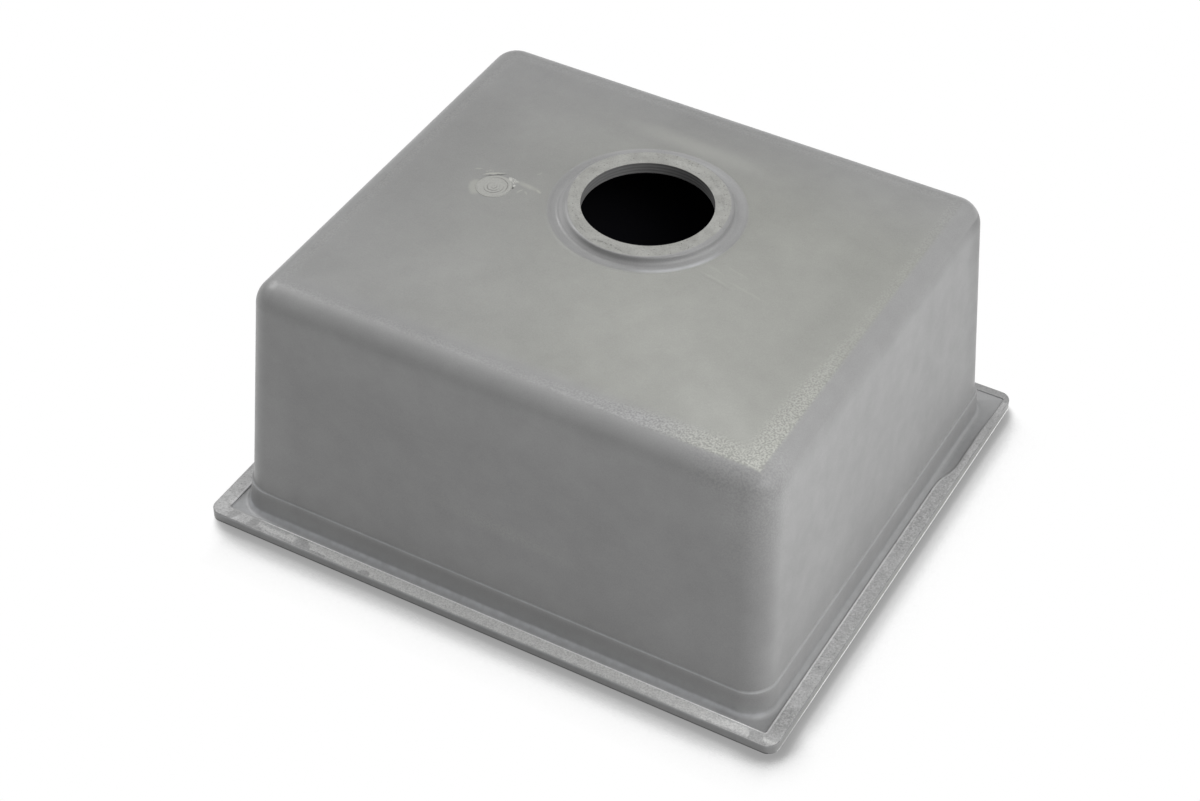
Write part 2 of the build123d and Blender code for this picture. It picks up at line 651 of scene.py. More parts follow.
    def painted_light(self) -> np.ndarray:
        """Where light is painted on as a pale tone: round the foot of the step and on its ledge,
        where the bowl shades them, and as a painted highlight on the moat's slope and bed.

        Returns:
            One strength from 0 to 1 for each point.
        """
        b, x, y, z = self.bowl, self.x, self.y, self.z
        lean = (z - self.rim.thickness) * math.tan(math.radians(b.draft)) + b.wall / 2
        turn = b.step_foot_corner
        outer = np.hypot(np.maximum(np.abs(x) - b.half_length + turn, 0),
                         np.maximum(np.abs(y) - b.half_width + turn, 0)) > turn - lean
        clean = ramp(46, 20, np.hypot(x - b.half_length, y + b.half_width))
        foot = 0.5 * bell(z, 9.7, 1.4) + 0.2 * ramp(24, 9, z)
        foot += 0.12 * ramp(9.5, 8, z) * (1 - clean) - 0.1 * clean * ramp(8.6, 7.6, z)
        foot += 0.5 * bell(z, b.step_head - 0.4, 0.45)
        foot = foot * (0.28 + 0.72 * ramp(-172, -184, y)) * outer * (z > 7) * (z < 40)
        around, way = self.around, np.degrees(self.way)
        slope = ramp(65.2, 67.2, around) * ramp(71.2, 69.6, around)
        bed = ramp(60.4, 61.5, around) * ramp(68.5, 66.5, around)
        moat = 0.5 * slope * bell(way, -43, 24, 4) + 0.12 * bed * bell(way, 90, 32, 4)
        return np.clip(foot + moat * (z > 205), 0, 1)


@dataclass
class Casting:
    """The whole sink as one closed mesh."""

    walk: Walk = field(default_factory=Walk)
    rim: Rim = field(default_factory=Rim)
    bowl: Bowl = field(default_factory=Bowl)
    drain: Drain = field(default_factory=Drain)
    lines: list[np.ndarray] = field(default_factory=list)
    finishes: list[Finish] = field(default_factory=list)

    def add_line(self, plan: np.ndarray, z: float | np.ndarray, finish: Finish) -> None:
        """Adds one closed line of points to the skin.

        Args:
            plan: The line's x, y rows.
            z: Its height, or one height for each point.
            finish: The finish of the strip from this line to the next.
        """
        heights = np.broadcast_to(np.asarray(z, float), (len(plan),))
        self.lines.append(np.column_stack([plan, heights]))
        self.finishes.append(finish)

    def directions(self) -> np.ndarray:
        """Directions from the drain axis of the points of a circle."""
        return self.walk.angles(self.flat_half(), self.drain.offset)

    def circle(self, radius: float | np.ndarray) -> np.ndarray:
        """Points of a circle on the drain axis.

        Args:
            radius: The circle's radius, or one radius for each point.

        Returns:
            An array of x, y rows that match the outlines' points.
        """
        angle = self.directions()
        return np.stack([radius * np.cos(angle), self.drain.offset + radius * np.sin(angle)], 1)

    def flat_half(self) -> tuple[float, float]:
        """Half the length and width of the floor inside the rounded edge."""
        bowl = self.bowl
        x, y = bowl.half_at(bowl.height - bowl.edge_radius)
        inset = bowl.edge_radius / math.cos(math.radians(bowl.draft))
        return x - inset, y - inset

    def add_ring(self) -> None:
        """Adds the seal ring's ground top, its rounded edge, its side and the moat."""
        d = self.drain
        rim = self.bowl.height + self.bowl.fall
        top, bed = rim + d.ring_height, rim - d.moat_depth
        self.add_line(self.circle(d.bore + 0.02), top - d.bore_edge, Finish.RING)
        self.add_line(self.circle(d.bore + d.bore_edge * 0.3), top - d.bore_edge * 0.3, Finish.RING)
        share = d.lobe(self.directions(), d.round_at, d.round_spread)
        worn_and_lit = d.lobe(self.directions(), d.worn_at, d.worn_spread)
        edge = d.ring_edge + (d.round_edge - d.ring_edge) * share
        fall = d.ring_edge + (d.round_drop - d.ring_edge) * share
        foot = bed + d.moat_fillet
        side = [(d.ring - edge * (1 - math.sin(t)), top - fall * (1 - math.cos(t)))
                for t in np.radians(np.linspace(0, 90, 6))]
        side += [(d.ring + 0.02, (top - fall) * (1 - s) + foot * s) for s in (0.3, 0.7)]
        side += [(d.ring + 0.04 + d.moat_fillet * (1 - math.cos(a)),
                  bed + d.moat_fillet * (1 - math.sin(a)))
                 for a in np.radians(np.linspace(0, 90, 10))]
        start = d.bore + d.bore_edge
        flat = side[0][0] * (1 - worn_and_lit) + d.worn_from * worn_and_lit
        for s in (0, 0.04, 0.15, 0.3, 0.45, 0.6, 0.75, 0.88, 0.96):
            self.add_line(self.circle(start + (flat - start) * s), top, Finish.RING)
        for u, (radius, z) in zip(np.linspace(0, 1, len(side)), side):
            soft_radius = d.worn_from + (d.worn_to - d.worn_from) * u
            soft_z = top - (top - bed) * float(ramp(0, 1, u))
            self.add_line(self.circle(radius * (1 - worn_and_lit) + soft_radius * worn_and_lit),
                          z * (1 - worn_and_lit) + soft_z * worn_and_lit, Finish.CAST)
        for r in d.moat - np.array([5.4, 4.2, 3.5, 2.9, 2.3, 1.8, 1.4, 1.05, 0.75, 0.45, 0.2]):
            rise = float(ramp(d.moat_bed, d.moat + 0.3, r))
            self.add_line(self.circle(r), bed + (rim + self.bead() - bed) * rise, Finish.CAST)

    def bead(self) -> np.ndarray:
        """The height of the bead at the moat's rim in each direction, highest at the front."""
        return self.drain.moat_bead * (0.4 + 0.6 * self.drain.lobe(self.directions(), -60.0, 75.0))

    def add_floor(self) -> None:
        """Adds the bead at the moat's rim and the floor's fall out to the rounded edge."""
        rx, ry = self.flat_half()
        outer = self.walk.outline(rx, ry, self.bowl.flat_corner)
        inner = self.circle(self.drain.moat)
        reach = np.linalg.norm(outer - inner, axis=1)
        top = self.bowl.height + self.bowl.fall
        for d in (0.0, 0.35, 0.7, 1.1, 1.6, 2.2, 3.0):
            s = d / reach
            bead = self.bead() * math.exp(-(d / self.drain.bead_width) ** 2)
            plan = inner * (1 - s[:, None]) + outer * s[:, None]
            self.add_line(plan, top - self.drop(s) + bead, Finish.CAST)
        start = 3.0 / reach
        for u in (*np.linspace(0.015, 0.15, 6), *np.linspace(0.18, 0.9, 30),
                  *np.linspace(0.915, 0.999, 9)):
            s = start + (1 - start) * u
            plan = inner * (1 - s[:, None]) + outer * s[:, None]
            self.add_line(plan, top - self.drop(s), Finish.CAST)

    def drop(self, s: np.ndarray) -> np.ndarray:
        """How far the floor lies below the moat's rim.

        Args:
            s: The share of the way from the moat's rim to the rounded edge.

        Returns:
            The drop in millimetres, easing to level just before the edge.
        """
        w = self.bowl.ridge_blend
        level = 1 - w / 2
        t = np.clip(1 - s, 0, 1)
        rise = np.where(t < w, t * t / (2 * w), t - w / 2) / level
        return self.bowl.fall * (1 - rise)

    def add_walls(self) -> None:
        """Adds the rounded edge, the drafted walls and the foot step."""
        b = self.bowl
        rx, ry = self.flat_half()
        centre = b.height - b.edge_radius
        for share in np.linspace(0, 1, 21):
            a = math.radians(90 - (90 - b.draft) * share)
            out = b.edge_radius * math.cos(a)
            self.add_line(self.walk.outline(rx + out, ry + out, b.flat_corner + out),
                          centre + b.edge_radius * math.sin(a), Finish.CAST)
        corner = b.flat_corner + b.edge_radius
        high = centre + b.edge_radius * math.sin(math.radians(b.draft))
        head = b.step_head
        for z in (*np.linspace(high - 2, high - 14, 5), *np.linspace(high - 20, head + 6, 22),
                  head + 3, head + 1.8, head + 1.0):
            x, y = b.half_at(z)
            self.add_line(self.walk.outline(x, y, corner), z, Finish.CAST)
        for grow, rise in ((0.04, 0.6), (0.15, 0.4), (0.35, 0.24), (0.65, 0.05), (0.95, -0.14),
                           (1.18, -0.36), (1.32, -0.7), (1.38, -1.1)):
            x, y = b.half_at(head, grow)
            self.add_line(self.walk.outline(x, y, corner + grow * 0.5), head + rise, Finish.CAST)

    def add_rim_back(self) -> None:
        """Adds the step's face, the groove and the ground border on the back of the rim."""
        b, r = self.bowl, self.rim
        floor = r.thickness - r.groove_depth
        hx, hy = b.half_at(b.step_head, b.step_ledge)
        fx, fy = b.half_at(floor, b.step_foot)
        head_corner = b.flat_corner + b.edge_radius + b.step_ledge * 0.5
        lean = math.atan((fx - hx) / (b.step_head - floor))
        foot = b.foot_fillet * (1 - math.sin(lean))
        for z in np.linspace(b.step_head - 1.5, floor + foot + 0.4, 9):
            t = (b.step_head - z) / (b.step_head - floor)
            corner = head_corner + (b.step_foot_corner - head_corner) * t
            plan = self.walk.outline(hx + (fx - hx) * t, hy + (fy - hy) * t, corner)
            self.add_line(plan, z, Finish.CAST)
        for e in np.linspace(lean, math.pi / 2, 9):
            out = -foot * math.tan(lean) + b.foot_fillet * (math.cos(lean) - math.cos(e))
            self.add_line(self.walk.outline(fx + out, fy + out, b.step_foot_corner + out),
                          floor + b.foot_fillet * (1 - math.sin(e)), Finish.CAST)
        gx, gy = r.half_length - r.border_ends, r.half_width - r.border_sides
        top = r.thickness
        # The arris strips at the groove's edge get the pale arris finish, a painted highlight
        for grow, z, slope, low, finish in (
                (-1.0, floor, 0.5, floor, Finish.CAST),
                (-0.9, floor + 0.04, 0.47, floor + 0.05, Finish.CAST),
                (-0.85, floor + 0.2, 0.45, floor + 0.3, Finish.CAST),
                (-0.82, top - 0.34, 0.35, top - 0.45, Finish.ARRIS),
                (-0.7, top - 0.2, 0.2, top - 0.24, Finish.ARRIS),
                (-0.4, top - 0.1, 0.05, top - 0.1, Finish.ARRIS),
                (0.1, top - 0.01, 0.0, top - 0.01, Finish.ARRIS)):
            plan = self.walk.outline(gx + grow, gy + grow, r.groove_corner + grow)
            front = (plan[:, 1] < 0.5 - gy) * ramp(gx - 2, gx - 14, np.abs(plan[:, 0]))
            plan[:, 1] += slope * front
            self.add_line(self.narrowed(plan, 1.0), z + (low - z) * front, finish)
        for grow in (0.55, 1.5, 3.0, 5.0, 7.0, 8.4):
            plan = self.walk.outline(gx + grow * r.border_ends / r.border_sides, gy + grow,
                                     r.groove_corner + grow * 0.6)
            self.add_line(self.narrowed(plan, 1 - grow / 8.4), r.thickness, Finish.BORDER)

    def narrowed(self, plan: np.ndarray, share: float) -> np.ndarray:
        """Moves a line of the border out at the back right corner, where less of it was ground.

        Args:
            plan: The line's x, y rows.
            share: How much of the narrowing the line takes, from 0 to 1.

        Returns:
            The moved rows.
        """
        x, y = plan[:, 0], plan[:, 1]
        right = (5.6 * ramp(82, 112, y) + 1.4 * ramp(150, 185, y)) * ramp(200, 212, x)
        back = 4.2 * ramp(140, 212, x) * ramp(180, 190, y)
        return plan + share * np.stack([right, back], 1)

    def add_rim_edge(self) -> None:
        """Adds the rim's edge and the ground arris along the deck face."""
        r = self.rim
        top, low = r.thickness, r.arris
        # The deck arris gets the pale arris finish, a painted highlight
        for finish, rows in (
                (Finish.BORDER, ((1.0, top),)),
                (Finish.EDGE, ((0.55, top - 0.01), (0.22, top - 0.1))),
                (Finish.CAST, ((0.06, top - 0.3), (0.0, top - 0.7), (0.0, top * 0.7),
                               (0.0, top * 0.4), (0.0, low + 1.2))),
                (Finish.ARRIS, ((0.0, low + 1.0), (0.0, low), (0.15, low - 0.18),
                                (low - 0.15, 0.12))),
                (Finish.SHOW, ((low, 0.0), (low + 0.5, 0.0), (low + 3, 0.0), (9.0, 0.0)))):
            for inset, z in rows:
                plan = self.walk.outline(r.half_length - inset, r.half_width - inset,
                                         max(r.corner_radius - inset * 0.8, 2))
                flare = r.foot_flare * float(ramp(low - 0.2, low + 1.2, z))
                plan[:, 0] -= flare * ramp(219, 226, plan[:, 0])
                self.add_line(plan, z, finish)

    def add_inside(self) -> None:
        """Adds the mouth lip, the inside walls, the floor inside and the strainer seat."""
        b, d = self.bowl, self.drain
        corner = b.flat_corner + b.edge_radius - b.wall
        lean = math.radians(b.draft)
        mx, my = b.half_at(b.lip_radius, -b.wall)
        for share in np.linspace(0, 1, 11):
            a = (math.pi / 2 - lean) * share
            out = b.lip_radius * (1 - math.sin(a)) - b.lip_radius * (1 - math.cos(lean))
            self.add_line(self.walk.outline(mx + out, my + out, corner + out),
                          b.lip_radius * (1 - math.cos(a)), Finish.SHOW)
        radius = b.edge_radius - b.wall
        centre = b.height - b.wall - radius
        for z in np.linspace(b.lip_radius + 2, centre - 1, 12):
            x, y = b.half_at(z, -b.wall)
            self.add_line(self.walk.outline(x, y, corner), z, Finish.SHOW)
        rx, ry = self.flat_half()
        x, y = b.half_at(centre, -b.wall)
        inset = radius / math.cos(lean)
        cx, cy = x - inset, y - inset
        for share in np.linspace(0, 1, 11):
            a = lean + (math.pi / 2 - lean) * share
            out = radius * math.cos(a)
            self.add_line(self.walk.outline(cx + out, cy + out, b.flat_corner + out),
                          centre + radius * math.sin(a), Finish.SHOW)
        outer = self.walk.outline(cx, cy, b.flat_corner)
        inner = self.circle(d.seat)
        top = b.height - b.wall + b.fall
        for s in np.linspace(0.97, 0.03, 16):
            self.add_line(inner * (1 - s) + outer * s, top - self.drop(np.full(len(inner), s)),
                          Finish.SHOW)
        depth = d.seat_depth
        for r, z in ((d.seat + 0.5, 0.0), (d.seat + 0.12, 0.12), (d.seat, 0.5),
                     (d.seat, depth - 0.3), (d.seat - 0.3, depth), (d.seat - 1, depth),
                     (d.bore + 1, depth), (d.bore + 0.3, depth)):
            self.add_line(self.circle(r), top + z, Finish.SHOW)
        for z in np.linspace(depth + 0.3, depth + 8.3, 21):
            ring = d.bore_rings * (0.5 - 0.5 * math.cos(z * d.bore_turns))
            self.add_line(self.circle(d.bore + ring), top + z, Finish.CAST)

    def wave(self, grid: np.ndarray) -> np.ndarray:
        """Makes the moulded skin very slightly uneven, as a casting's is.

        Args:
            grid: The lines' points, one row of points for each line.

        Returns:
            The moved points.
        """
        along = np.roll(grid, -1, 1) - np.roll(grid, 1, 1)
        across = np.roll(grid, -1, 0) - np.roll(grid, 1, 0)
        normal = np.cross(across, along)
        normal /= np.maximum(np.linalg.norm(normal, axis=2, keepdims=True), 1e-9)
        moved = grid.copy()
        low, ring = self.bowl.step_head, self.bowl.height + 6.2
        for row, finish in enumerate(self.finishes):
            z = grid[row, :, 2]
            if finish is not Finish.CAST or z.min() < low + 3 or z.max() > ring:
                continue
            depth = self.bowl.waviness * ramp(low + 2, low + 25, z)
            for j, p in enumerate(grid[row]):
                swell = noise.noise(Vector(p) / 46)
                swell += 0.5 * noise.noise(Vector(p) / 21 + Vector((7, 3, 1)))
                moved[row, j] -= normal[row, j] * depth[j] * (0.55 - 0.5 * swell)
        return moved

    def finish_of_faces(self, grid: np.ndarray) -> np.ndarray:
        """The material slot of every face.

        The deck arris keeps the pale arris finish, a painted highlight, on the +X side alone, and
        the groove's is wider at the front.

        Args:
            grid: The lines' points, one row of points for each line.

        Returns:
            One slot number for each face.
        """
        slots = np.repeat([f.value for f in self.finishes], grid.shape[1]).reshape(grid.shape[:2])
        x, y, z = grid[..., 0], grid[..., 1], grid[..., 2]
        deck = (slots == Finish.ARRIS.value) & (z < self.rim.thickness / 2)
        slots[deck & (x < self.rim.half_length - 1)] = Finish.CAST.value
        arris = (np.abs(x) < 204) & (y < -191.75) & (y > -193.2) & (z > 7.4) & (z < 8.39)
        slots[arris] = Finish.ARRIS.value
        return slots.ravel()

    def build(self) -> Object:
        """Draws every line and joins them into one closed mesh.

        Returns:
            The sink, with the skin's masks on its points and a slot number on each face.
        """
        self.add_ring()
        self.add_floor()
        self.add_walls()
        self.add_rim_back()
        self.add_rim_edge()
        self.add_inside()
        grid = self.wave(np.array(self.lines))
        rows, cols = grid.shape[:2]
        index = np.arange(rows * cols).reshape(rows, cols)
        ahead, beside = np.roll(index, -1, 0), np.roll(index, -1, 1)
        quads = np.stack([index, ahead, np.roll(ahead, -1, 1), beside], -1).reshape(-1, 4)
        skin = SkinState(self.rim, self.bowl, self.drain, self.flat_half(),
                         *np.moveaxis(grid, 2, 0))
        sink = add_mesh("sink_casting", (grid.reshape(-1, 3) * MM).tolist(), quads.tolist(),
                        **skin.masks())
        sink.data.polygons.foreach_set("material_index", self.finish_of_faces(grid))
        LOG.info("sink_casting: %d lines of %d points", rows, cols)
        return sink

    def dress(self, sink: Object) -> None:
        """Gives the sink a material for each of its finishes, in the order of the slots.

        Args:
            sink: The mesh that build has drawn.
        """
        border = GroundFace(light="#c4c4c4", dark="#b2b2b2", pit="#8c8c8c", grain_share=0.17,
                            ragged_mm=2.6, marks=BORDER_MARKS)
        edge = GroundFace(light="#a0a0a0", dark="#8c8c8c", marks=EDGE_PAINTED_LIGHT)
        # The arris finish: ground grit painted pale, as a highlight along the arrises
        arris = GroundFace(light="#d6d6d6", dark="#c8c8c8", pit="#b0b0b0", marks=ARRIS_PAINTED_LIGHT)
        looks = {Finish.CAST: (CompositeSkin(marks=SKIN_MARKS), "composite_as_cast"),
                 Finish.RING: (GroundFace(marks=RING_MARKS), "composite_ground_ring"),
                 Finish.BORDER: (border, "composite_ground_border"),
                 Finish.EDGE: (edge, "composite_chipped_edge"),
                 Finish.ARRIS: (arris, "composite_arris_painted_highlight"),
                 Finish.SHOW: (CompositeSkin(pebble_depth_mm=0.02), "composite_show_face")}
        for finish in Finish:
            look, name = looks[finish]
            sink.data.materials.append(look.make(name))


# Finishes


@dataclass(frozen=True)
class Mark:
    """A mark at one place on the surface, such as a scratch, a smear of chalk, a bare patch, a
    painted glint or a patch of painted light.

    It is an ellipsoid round that place, with its own half sizes in millimetres and its turn
    about Z and tip about Y in degrees, that tints what it reaches.
    """

    at: tuple[float, float, float]
    half: tuple[float, float, float]
    colour: str
    strength: float = 0.6
    turn: float = 0.0
    tip: float = 0.0
    soft: float = 0.35
    broken: bool = False

    def paint(self, tree: NodeTree, place: Node, grain: Node, base: Node) -> Node:
        """Adds the mark over a colour.

        Args:
            tree: The material's node tree.
            place: The place on the object, made slightly ragged.
            grain: A fine noise, which breaks up a chalky mark.
            base: The colour without the mark.

        Returns:
            The colour with the mark.
        """
        turn = (0, math.radians(self.tip), math.radians(self.turn))
        own = add_node(tree, "Mapping", {"Vector": place, "Location": [v * MM for v in self.at],
                                         "Rotation": turn, "Scale": [v * MM for v in self.half]},
                       vector_type="TEXTURE")
        away = add_node(tree, "VectorMath", (own,), operation="LENGTH")
        cover = add_node(tree, "MapRange", (away, 1 + self.soft, 1 - self.soft, 0, self.strength),
                         interpolation_type="SMOOTHSTEP")
        if self.broken:
            chips = add_node(tree, "MapRange", (grain, 0.42, 0.58))
            cover = add_node(tree, "Math", (cover, chips), operation="MULTIPLY")
        return add_node(tree, "Mix", {"Factor": cover, "A": base, "B": linear(self.colour)},
                        data_type="RGBA")


def paint_marks(tree: NodeTree, marks: tuple[Mark, ...], base: Node,
                ragged_mm: float = 1.2) -> Node:
    """Adds a list of marks over a colour, one after the other.

    Args:
        tree: The material's node tree.
        marks: The marks.
        base: The colour without them.
        ragged_mm: How ragged their outlines are.

    Returns:
        The colour with all the marks.
    """
    place = add_node(tree, "TexCoord").outputs["Object"]
    tear, grain = (add_node(tree, "TexNoise", {"Vector": place, "Scale": pitch(size), "Detail": 2})
                   for size in (ragged_mm * 3, 1.3))
    shift = add_node(tree, "VectorMath", (tear.outputs["Color"], (0.5, 0.5, 0.5)),
                     operation="SUBTRACT")
    torn = add_node(tree, "VectorMath", (shift, (ragged_mm * 2 * MM,) * 3, place),
                    operation="MULTIPLY_ADD")
    for mark in marks:
        base = mark.paint(tree, torn, grain, base)
    return base


# The colours of the marks: rubbed-off gypsum, skin rubbed pale, pressed-in dirt, bare cast skin
CHALK, SCUFF, DIRT, BARE = "#dcdcd6", "#b6b6ae", "#343432", "#bababa"

# Where the handling of the photographed sink has left its traces, with a painted glint on the ring
# and painted light on the rim's right side among them
SKIN_MARKS = (
    Mark((-2, 115, 212), (46, 8, 8), "#a8a8a4", 0.5, turn=-4, soft=0.9),
    Mark((-119.8, -3, 210), (4.6, 8.6, 6), SCUFF, 0.4, turn=28.8, soft=0.3),
    Mark((-116, 16.4, 210), (7.2, 0.9, 6), SCUFF, 0.75, turn=30),
    Mark((-120.4, 17.6, 210), (2.6, 1.4, 6), SCUFF, 0.4, turn=30, broken=True),
    Mark((-129, 16.8, 210), (2.8, 0.7, 6), SCUFF, 0.35, turn=29),
    Mark((-113.4, 15.6, 210), (7.6, 0.6, 6), "#525250", 0.75, turn=33, soft=0.3),
    Mark((-104.8, 12, 210), (5.6, 1.3, 6), CHALK, 0.4, turn=-6),
    Mark((-100.6, 16.8, 210), (3.2, 1, 6), CHALK, 0.5, turn=-8, broken=True),
    Mark((-101.6, 14.4, 210), (1.3, 3.4, 6), CHALK, 0.5, turn=12),
    Mark((-98.4, 12.8, 210), (3, 3.2, 6), CHALK, 0.45, turn=-30, broken=True),
    Mark((-96.4, 14.9, 210), (2, 1.7, 6), CHALK, 0.4, broken=True),
    Mark((-95.2, 9.6, 210), (1.1, 1.1, 6), CHALK, 0.6),
    Mark((-95.4, 7.1, 210), (0.9, 1.2, 6), DIRT, 0.75, turn=20, soft=0.3),
    Mark((-86.3, 13.6, 210), (8.2, 2, 6), SCUFF, 0.42, turn=-9, soft=0.8),
    Mark((-76.3, 11.2, 211), (2.6, 0.9, 6), SCUFF, 0.45, turn=-32),
    Mark((-88.7, 6.2, 210), (2.8, 0.7, 6), SCUFF, 0.4, turn=72),
    Mark((-83.6, 6, 210), (2.2, 0.7, 6), SCUFF, 0.3, turn=-50),
    Mark((-86.4, 30.4, 210), (2.2, 0.8, 6), SCUFF, 0.3, turn=55),
    Mark((72, -3.5, 212), (8, 0.8, 6), SCUFF, 0.12, turn=-14),
    Mark((76, -12, 212), (13, 1, 6), SCUFF, 0.14, turn=-10),
    Mark((77, -14.8, 212), (12, 1, 6), "#7e7e7a", 0.16, turn=-10),
    Mark((99, -12, 211), (15, 1, 6), SCUFF, 0.12, turn=-9),
    Mark((86, 2, 211), (9, 0.8, 6), SCUFF, 0.12, turn=-12),
    # A painted glint: a white speck of light on the ring's side
    Mark((21.6, -17.6, 214), (0.9, 0.9, 5), "#ffffff", 1, soft=0.25),
    Mark((8, -181, 84), (46, 9, 5.5), "#a0a09e", 0.5, tip=5, soft=0.9, broken=True),
    Mark((22, -174.4, 200.4), (1.1, 1.4, 1), CHALK, 0.7, soft=0.4),
    Mark((43, -174.5, 198.6), (1.1, 1.4, 1), CHALK, 0.7, soft=0.4),
    # Painted light on the rim's right side face
    Mark((228.5, 0, 3.4), (1.5, 215, 3.4), SCUFF, 0.3),
)

# A band of painted light along the border's front, which the bowl shades, then the places where the
# grinding of the rim's border has left the cast skin bare
BORDER_MARKS = (
    # Painted light along the border's front
    Mark((26, -198, 8.4), (208, 6.6, 3), "#f8f8f6", 0.58, soft=0.12),
    Mark((-210, -197.5, 8.4), (3.6, 7, 3), "#a2a2a2", 0.9, turn=-20, soft=0.15),
    Mark((-192.4, -198, 8.4), (3.4, 7, 3), "#a2a2a2", 0.9, turn=-15, soft=0.15),
    Mark((-186, -202.6, 8.4), (4.6, 2.6, 3), "#a6a6a6", 0.8, soft=0.15),
    Mark((-168, -202.9, 8.4), (9.5, 2.8, 3), BARE, 0.9, turn=-3, soft=0.15),
    Mark((-150, -199.6, 8.4), (7.6, 5.2, 3), BARE, 0.9, turn=-22, soft=0.15),
    Mark((-136, -202.3, 8.4), (9, 2.7, 3), BARE, 0.85, turn=3, soft=0.15),
    Mark((-96, -202, 8.4), (4.6, 3, 3), BARE, 0.8, soft=0.15),
    Mark((-72, -203.4, 8.4), (6, 1.6, 3), BARE, 0.7, soft=0.2),
    Mark((120, -203.4, 8.4), (84, 2, 3), BARE, 0.45, soft=0.3),
    Mark((212, -197, 8.4), (5.5, 9, 3), BARE, 0.95, turn=20, soft=0.15),
    Mark((221, -176, 8.4), (9, 12, 3), "#949494", 0.7, broken=True),
    Mark((222, -60, 8.4), (6, 60, 3), "#9c9c9c", 0.5, broken=True),
    Mark((221, 70, 8.4), (7, 70, 3), "#969696", 0.6, broken=True),
    Mark((226, 172, 8.4), (6, 26, 3), "#a0a0a0", 0.85, soft=0.5),
    Mark((205, 200, 8.4), (60, 9, 3), "#8e8e8e", 0.95, soft=0.2),
    Mark((-222, 90, 8.4), (4, 60, 3), BARE, 0.6),
)

# Painted light on the rim's edge along the front, which the bowl shades
EDGE_PAINTED_LIGHT = (Mark((20, -203, 8.2), (214, 4, 3), "#ececea", 0.45, soft=0.12),)

# Painted highlights on the arrises: white along the groove's front and the deck's right, paler
# along the groove's right, and darker at the groove's left front end and round the back right
# corner
ARRIS_PAINTED_LIGHT = (
    Mark((12, -192.4, 8), (200, 3.4, 3), "#ffffff", 1, soft=0.1),
    Mark((-205, -192.4, 8), (17, 3.4, 3), "#acacac", 1, soft=0.1),
    Mark((228.4, 26, 1), (3, 190, 3), "#ffffff", 1, soft=0.1),
    Mark((217, -92, 8.2), (1, 98, 3), "#f0f0f0", 0.6, soft=0.4),
    Mark((222, 158, 8.3), (9, 64, 3), "#a2a2a2", 1, soft=0.1),
    Mark((205, 197, 8.3), (60, 5, 3), "#969696", 1, soft=0.1),
)

# Scratches and worn places on the ground ring
RING_MARKS = (
    Mark((-12, -22.5, 218.7), (4.5, 0.7, 3), "#5c5c5a", 0.6, turn=14, broken=True),
    Mark((-3, -21.8, 218.7), (5.5, 0.8, 3), "#5c5c5a", 0.6, turn=4, broken=True),
    Mark((6, -23.2, 218.7), (4.5, 0.7, 3), "#5c5c5a", 0.5, turn=-12, broken=True),
    Mark((-26, -15.5, 218.7), (4.5, 0.8, 3), "#666664", 0.5, turn=-30, broken=True),
    Mark((-36, -6, 218.7), (3.5, 0.8, 3), "#666664", 0.45, turn=-45, broken=True),
    Mark((0, 84.5, 218.7), (16, 2.2, 3), "#b8b8b4", 0.4, soft=0.6, broken=True),
    Mark((30, 76, 218.7), (10, 1.2, 3), "#6a6a68", 0.35, turn=-38, broken=True),
    Mark((44, 60, 218.7), (9, 1, 3), "#6a6a68", 0.3, turn=-55, broken=True),
)


@dataclass(frozen=True)
class Composite:
    """What all the finishes share: quartz grit in acrylic resin, which has no metal in it."""

    roughness: float = 0.5
    ior: float = 1.5
    marks: tuple[Mark, ...] = ()

    def make(self, name: str) -> Material:
        """Builds the material under the name given."""
        return make_material(name, self.surface)

    def surface(self, tree: NodeTree) -> Node:
        """Draws the finish. Each finish has its own way.

        Args:
            tree: The material's node tree.

        Returns:
            The shader.
        """
        raise NotImplementedError

    def grains(self, tree: NodeTree, *patterns: tuple[float, float, float]) -> list[Node]:
        """Adds noises of several sizes over the casting.

        Args:
            tree: The material's node tree.
            *patterns: The size in millimetres, the detail and the roughness of each.

        Returns:
            One noise for each pattern.
        """
        place = add_node(tree, "TexCoord").outputs["Object"]
        return [add_node(tree, "TexNoise", {"Vector": place, "Scale": pitch(size),
                                            "Detail": detail, "Roughness": rough})
                for size, detail, rough in patterns]


